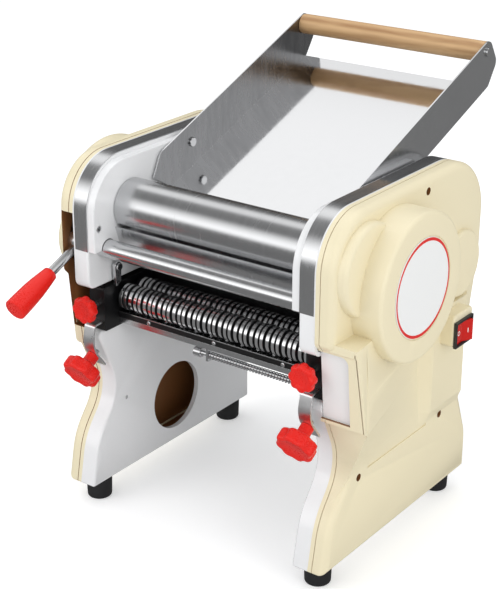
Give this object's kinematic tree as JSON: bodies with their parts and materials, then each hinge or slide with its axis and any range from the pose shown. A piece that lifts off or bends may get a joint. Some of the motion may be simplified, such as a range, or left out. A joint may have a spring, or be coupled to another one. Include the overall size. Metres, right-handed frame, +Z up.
{
  "type": "electric pasta maker",
  "caption": "Tabletop dough sheeter and noodle cutter: sheet rollers with a gap lever above a pair of grooved cutters, side motor drive, feed tray with a wooden handle.",
  "frame": {"origin": "middle of the base of the bounding box, on the surface that the feet stand on", "axes": "+X along the rollers towards the gear side, -Y is the front where the noodles come out, +Z up"},
  "size_m": [0.3584, 0.4202, 0.426],
  "materials": {
    "cream_shell": "moulded plastic, satin",
    "white_paint": "smooth gloss enamel",
    "bright_steel": "brushed",
    "polished_sheet": "mirror polished stainless sheet",
    "roller_chrome": "ground and polished",
    "cutter_steel": "machined, bright",
    "gear_steel": "plain machined steel",
    "black_paint": "black paint",
    "red_plastic": "bright moulded plastic",
    "switch_red": "translucent red",
    "black_plastic": "moulded black",
    "white_plate": "flat white",
    "badge": "blank printed disc with a red ring",
    "motor_paint": "dark grey enamel",
    "wood": "turned beech, sealed",
    "rubber": "black rubber"
  },
  "bodies": {
    "base": {"badge_plate": "badge", "bar_screws": "bright_steel", "capacitor_bracket": "gear_steel", "clamp_hooks": "bright_steel", "comb_bars": "black_paint", "combs": "cutter_steel", "cover_left": "cream_shell", "cover_right": "cream_shell", "cutter_cheeks": "black_paint", "dough_guard": "black_paint", "edge_trims": "bright_steel", "feet": "rubber", "frame_screws": "gear_steel", "inner_liners": "white_paint", "latch_pivots": "bright_steel", "lower_rail": "bright_steel", "motor_bearing": "gear_steel", "motor_housing": "motor_paint", "motor_stator": "gear_steel", "panel_screws": "gear_steel", "release_spring": "bright_steel", "roller_bushes": "gear_steel", "scrapers": "bright_steel", "side_frame_left": "white_paint", "side_frame_right": "white_paint", "start_capacitor": "black_plastic", "stub_axles": "gear_steel", "switch_housing": "black_plastic", "tie_rods": "gear_steel", "tray": "polished_sheet", "tray_handle": "wood", "tray_screws": "gear_steel", "window_plate": "white_plate"},
    "rear_roller": {"roller_rear": "roller_chrome", "roller_gear_rear": "gear_steel", "cutter_drive_gear": "gear_steel", "main_gear": "gear_steel"},
    "gap_carriage": {"bearing_blocks": "gear_steel", "gap_links": "gear_steel"},
    "front_roller": {"roller_front": "roller_chrome", "roller_gear_front": "gear_steel"},
    "gap_lever": {"lever_shaft": "bright_steel", "lever_arm": "bright_steel", "lever_grip": "red_plastic"},
    "cutter_front": {"cutter_front": "cutter_steel", "cutter_gear_front": "gear_steel"},
    "cutter_rear": {"cutter_rear": "cutter_steel", "cutter_gear_rear": "gear_steel"},
    "cutter_idler": {"cutter_idler_gear": "gear_steel"},
    "compound_gear": {"compound_gear": "gear_steel"},
    "motor_rotor": {"motor_rotor": "gear_steel", "motor_pinion": "gear_steel"},
    "release_pin": {"release_pin": "bright_steel"},
    "top_knob_left": {"top_knob_left": "red_plastic"},
    "top_knob_right": {"top_knob_right": "red_plastic"},
    "clamp_knob_left": {"clamp_knob_left": "red_plastic"},
    "clamp_knob_right": {"clamp_knob_right": "red_plastic"},
    "latch_left": {"latch_tab_left": "bright_steel"},
    "latch_right": {"latch_tab_right": "bright_steel"},
    "switch_rocker": {"switch_rocker": "switch_red"}
  },
  "joints": [
    {"name": "rear_roller_spin", "type": "hinge", "parent": "base", "child": "rear_roller", "pos_m": [-0.0012, -0.0415, 0.266], "axis": [1, 0, 0], "continuous": true},
    {"name": "gap_slide", "type": "slide", "parent": "base", "child": "gap_carriage", "axis": [0, -0.8016, 0.5978], "range_m": [0, 0.003]},
    {"name": "front_roller_spin", "type": "hinge", "parent": "gap_carriage", "child": "front_roller", "pos_m": [-0.0012, -0.0824, 0.2965], "axis": [1, 0, 0], "continuous": true},
    {"name": "cutter_idler_spin", "type": "hinge", "parent": "base", "child": "cutter_idler", "pos_m": [-0.0012, -0.05232, 0.22921], "axis": [1, 0, 0], "continuous": true},
    {"name": "cutter_rear_spin", "type": "hinge", "parent": "base", "child": "cutter_rear", "pos_m": [-0.0012, -0.06785, 0.207], "axis": [1, 0, 0], "continuous": true},
    {"name": "cutter_front_spin", "type": "hinge", "parent": "base", "child": "cutter_front", "pos_m": [-0.0012, -0.0905, 0.207], "axis": [1, 0, 0], "continuous": true},
    {"name": "compound_gear_spin", "type": "hinge", "parent": "base", "child": "compound_gear", "pos_m": [-0.0012, 0.02781, 0.25013], "axis": [1, 0, 0], "continuous": true},
    {"name": "motor_spin", "type": "hinge", "parent": "base", "child": "motor_rotor", "pos_m": [-0.0012, 0.04117, 0.2064], "axis": [1, 0, 0], "continuous": true},
    {"name": "gap_lever_turn", "type": "hinge", "parent": "base", "child": "gap_lever", "pos_m": [-0.0012, -0.1155, 0.2627], "axis": [1, 0, 0], "range_deg": [-45, 0]},
    {"name": "release_pin_slide", "type": "slide", "parent": "base", "child": "release_pin", "axis": [1, 0, 0], "range_m": [0, 0.006], "stiffness_N_per_m": 200, "springref_m": -0.004},
    {"name": "switch_turn", "type": "hinge", "parent": "base", "child": "switch_rocker", "pos_m": [0.1618, 0.0545, 0.1925], "axis": [0, 0, 1], "range_deg": [0, 24]},
    {"name": "top_knob_left_turn", "type": "hinge", "parent": "base", "child": "top_knob_left", "pos_m": [-0.12285, -0.1403, 0.205], "axis": [0, 1, 0], "continuous": true},
    {"name": "clamp_knob_left_turn", "type": "hinge", "parent": "base", "child": "clamp_knob_left", "pos_m": [-0.12285, -0.149, 0.142], "axis": [0, 0.849, 0.5284], "continuous": true},
    {"name": "latch_left_swing", "type": "hinge", "parent": "base", "child": "latch_left", "pos_m": [-0.1122, -0.1015, 0.24], "axis": [1, 0, 0], "range_deg": [-80, 80]},
    {"name": "top_knob_right_turn", "type": "hinge", "parent": "base", "child": "top_knob_right", "pos_m": [0.12045, -0.1403, 0.205], "axis": [0, 1, 0], "continuous": true},
    {"name": "clamp_knob_right_turn", "type": "hinge", "parent": "base", "child": "clamp_knob_right", "pos_m": [0.12045, -0.149, 0.142], "axis": [0, 0.849, 0.5284], "continuous": true},
    {"name": "latch_right_swing", "type": "hinge", "parent": "base", "child": "latch_right", "pos_m": [0.1098, -0.1015, 0.24], "axis": [1, 0, 0], "range_deg": [-80, 80]}
  ],
  "couplings": [
    {"joint": "front_roller_spin", "follows": "rear_roller_spin", "ratio": -1},
    {"joint": "cutter_idler_spin", "follows": "rear_roller_spin", "ratio": -1.4286},
    {"joint": "cutter_rear_spin", "follows": "rear_roller_spin", "ratio": 2},
    {"joint": "cutter_front_spin", "follows": "rear_roller_spin", "ratio": -2},
    {"joint": "compound_gear_spin", "follows": "rear_roller_spin", "ratio": -4.4615},
    {"joint": "motor_spin", "follows": "rear_roller_spin", "ratio": 20.592},
    {"joint": "gap_lever_turn", "follows": "gap_slide", "rad_per_m": -261.8}
  ]
}
